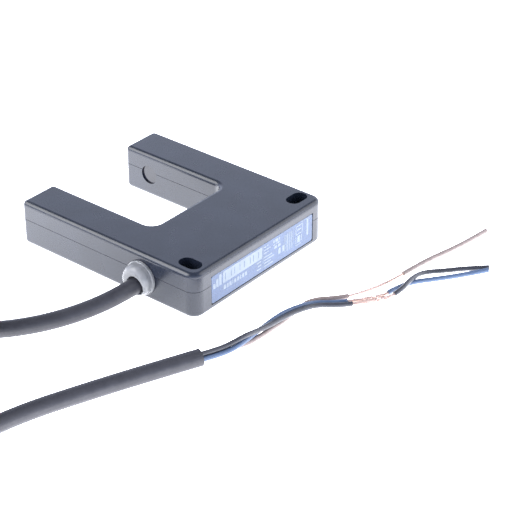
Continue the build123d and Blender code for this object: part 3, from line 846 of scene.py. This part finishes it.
FINISHES = {
    "housing_plastic": moulded("housing_plastic", (0.008, 0.011, 0.019), (0.013, 0.017, 0.028),
                               (0.2, 0.28), 9.0, 0.4, 0.0012),
    "label_film": moulded("label_film", (0.03, 0.059, 0.128), (0.04, 0.073, 0.152), (0.22, 0.3),
                          6.0, 0.4, 0.004),
    "label_print": moulded("label_print", (0.13, 0.165, 0.2), (0.155, 0.19, 0.235), (0.3, 0.4),
                           4.0, 0.3, 0.004),
    "filter_plastic": moulded("filter_plastic", (0.008, 0.009, 0.014), (0.012, 0.013, 0.02), (0.08, 0.15),
                              3.0, 0.5, 0.002),
    "lens_plastic": moulded("lens_plastic", (0.9, 0.92, 0.95), (0.96, 0.97, 0.98), (0.01, 0.05),
                            2.0, 0.8, 0.001, Transmission_Weight=1.0, IOR=1.49),
    "holder_plastic": moulded("holder_plastic", (0.02, 0.02, 0.02), (0.035, 0.035, 0.035), (0.5, 0.7),
                              3.0, 0.25, 0.01),
    "diode_resin": moulded("diode_resin", (0.42, 0.48, 0.6), (0.55, 0.6, 0.7), (0.05, 0.15),
                           1.5, 0.4, 0.002, Transmission_Weight=0.6),
    "board_laminate": moulded("board_laminate", (0.012, 0.09, 0.035), (0.02, 0.14, 0.05), (0.3, 0.45),
                              1.6, 0.4, 0.01),
    "chip_resin": moulded("chip_resin", (0.018, 0.018, 0.02), (0.03, 0.03, 0.034), (0.45, 0.6),
                          0.8, 0.12, 0.006),
    "ceramic_body": moulded("ceramic_body", (0.42, 0.29, 0.15), (0.52, 0.38, 0.22), (0.4, 0.55),
                            0.7, 0.15, 0.004),
    "clear_plastic": moulded("clear_plastic", (0.33, 0.335, 0.34), (0.41, 0.415, 0.425), (0.18, 0.26),
                             2.2, 0.9, 0.0015, Transmission_Weight=0.5, IOR=1.49),
    "seal_rubber": moulded("seal_rubber", (0.012, 0.012, 0.013), (0.022, 0.022, 0.024), (0.55, 0.75),
                           1.2, 0.2, 0.012),
    "clamp_metal": metal("clamp_metal", (0.5, 0.5, 0.52), (0.66, 0.66, 0.68), (0.25, 0.4),
                         0.5, (0.1, 1, 1), 0.004),
    "solder": metal("solder", (0.55, 0.55, 0.56), (0.7, 0.7, 0.7), (0.15, 0.3), 0.7, (1, 1, 1), 0.02),
    "cable_jacket": jacket("cable_jacket"),
    "tie_plastic": moulded("tie_plastic", (0.02, 0.02, 0.023), (0.035, 0.035, 0.04), (0.3, 0.45),
                           3.0, 0.3, 0.008),
    "core_brown": moulded("core_brown", (0.19, 0.15, 0.135), (0.25, 0.195, 0.18), (0.3, 0.42),
                          1.6, 0.2, 0.006),
    "core_blue": moulded("core_blue", (0.055, 0.09, 0.165), (0.068, 0.108, 0.19), (0.3, 0.42),
                         1.6, 0.2, 0.006),
    "core_black": moulded("core_black", (0.026, 0.028, 0.036), (0.038, 0.04, 0.05), (0.3, 0.42),
                          1.6, 0.2, 0.006),
    "copper_strands": metal("copper_strands", (0.62, 0.46, 0.39), (0.78, 0.61, 0.54), (0.3, 0.45),
                            0.3, (0.3, 1, 1), 0.006),
}


def dress():
    """Gives the CAD nodes and the new pieces their finishes."""
    for row in frame["record"]["subparts"]:
        first = frame["nodes"][row["node"]].material_slots[0]
        first.link = "OBJECT"
        first.material = FINISHES[row["material_slot"]]
    for piece, finish in finish_of.items():
        piece.data.materials.append(FINISHES[finish])


dress()


# ---- Floor and light ----
TABLE_HALF = 6.0
TABLE_GAP = 0.05
PAINTED_SHADOW_MIDDLE = (-41.0, -15.0)  # painted shadow: the table's glow is dimmer round the cable's exit
PAINTED_SHADOW_HALF = (41.0, 59.0)
GLOW = (4.15, 2.0)           # the table's own light, all over and in the middle of the painted shadow


def make_floor():
    """A pale table that glows so brightly that it shows no visible shadow, with a painted shadow dimming
    its glow round the cable's exit.
    """
    bm = bmesh.new()
    bmesh.ops.create_grid(bm, x_segments=1, y_segments=1, size=TABLE_HALF)
    mesh = bpy.data.meshes.new("floor")
    bm.to_mesh(mesh)
    bm.free()
    floor = bpy.data.objects.new("floor", mesh)
    floor.location.z = -TABLE_GAP * MM
    bpy.context.scene.collection.objects.link(floor)
    plain = {"Specular IOR Level": 0.2, "Roughness": 0.7, "Emission Color": (0.955, 0.965, 1.02, 1)}
    table, tree, shader = new_finish("table", plain)
    tint(tree, shader, noise(tree, 40.0), (0.88, 0.88, 0.88), (0.92, 0.92, 0.92))
    # Painted shadow: the glow falls from GLOW[0] all over to GLOW[1] in the middle of a soft oval round the
    # cable's exit.
    place = add(tree, "TexCoord")
    centred = add(tree, "Mapping", {
        "Location": (-PAINTED_SHADOW_MIDDLE[0] / PAINTED_SHADOW_HALF[0], -PAINTED_SHADOW_MIDDLE[1] / PAINTED_SHADOW_HALF[1], 0),
        "Scale": (1 / (PAINTED_SHADOW_HALF[0] * MM), 1 / (PAINTED_SHADOW_HALF[1] * MM), 1),
    })
    patch = add(tree, "TexGradient", gradient_type="SPHERICAL")
    glow = add(tree, "MapRange", {"To Min": GLOW[0], "To Max": GLOW[1]})
    tree.links.new(place.outputs["Object"], centred.inputs["Vector"])
    tree.links.new(centred.outputs["Vector"], patch.inputs["Vector"])
    tree.links.new(patch.outputs["Fac"], glow.inputs["Value"])
    tree.links.new(glow.outputs["Result"], shader.inputs["Emission Strength"])
    mesh.materials.append(table)


def softbox(name, direction, distance, size, power):
    """A square area light that looks at the object from this direction."""
    data = bpy.data.lights.new(name, "AREA")
    data.shape = "SQUARE"
    data.size = size
    data.energy = power
    lamp = bpy.data.objects.new(name, data)
    toward = Vector(direction).normalized()
    lamp.location = toward * distance
    lamp.rotation_mode = "QUATERNION"
    lamp.rotation_quaternion = toward.to_track_quat("Z", "Y")
    bpy.context.scene.collection.objects.link(lamp)


SKY_Z = (0.342, 0.669)       # the height of the direction where the sky starts and stops to darken
SKY_GLOW = (2.0, 0.45)       # near the horizon and overhead


def make_light():
    """A bluish sky, brighter near the horizon, with soft lights behind on the left and on the right."""
    world = bpy.data.worlds.new("studio")
    world.use_nodes = True
    tree = world.node_tree
    background = tree.nodes["Background"]
    background.inputs["Color"].default_value = (0.92, 1.0, 1.24, 1)
    place = add(tree, "TexCoord")
    height = add(tree, "SeparateXYZ")
    glow = add(tree, "MapRange", {
        "From Min": SKY_Z[0], "From Max": SKY_Z[1], "To Min": SKY_GLOW[0], "To Max": SKY_GLOW[1],
    })
    tree.links.new(place.outputs["Generated"], height.inputs["Vector"])
    tree.links.new(height.outputs["Z"], glow.inputs["Value"])
    tree.links.new(glow.outputs["Result"], background.inputs["Strength"])
    bpy.context.scene.world = world
    softbox("back_left_softbox", (-0.52, 0.54, 0.66), 0.9, 0.66, 8.5)
    softbox("right_softbox", (0.66, -0.5, 0.53), 0.9, 0.85, 5.0)
    bpy.context.scene.view_settings.view_transform = "Standard"


make_floor()
make_light()
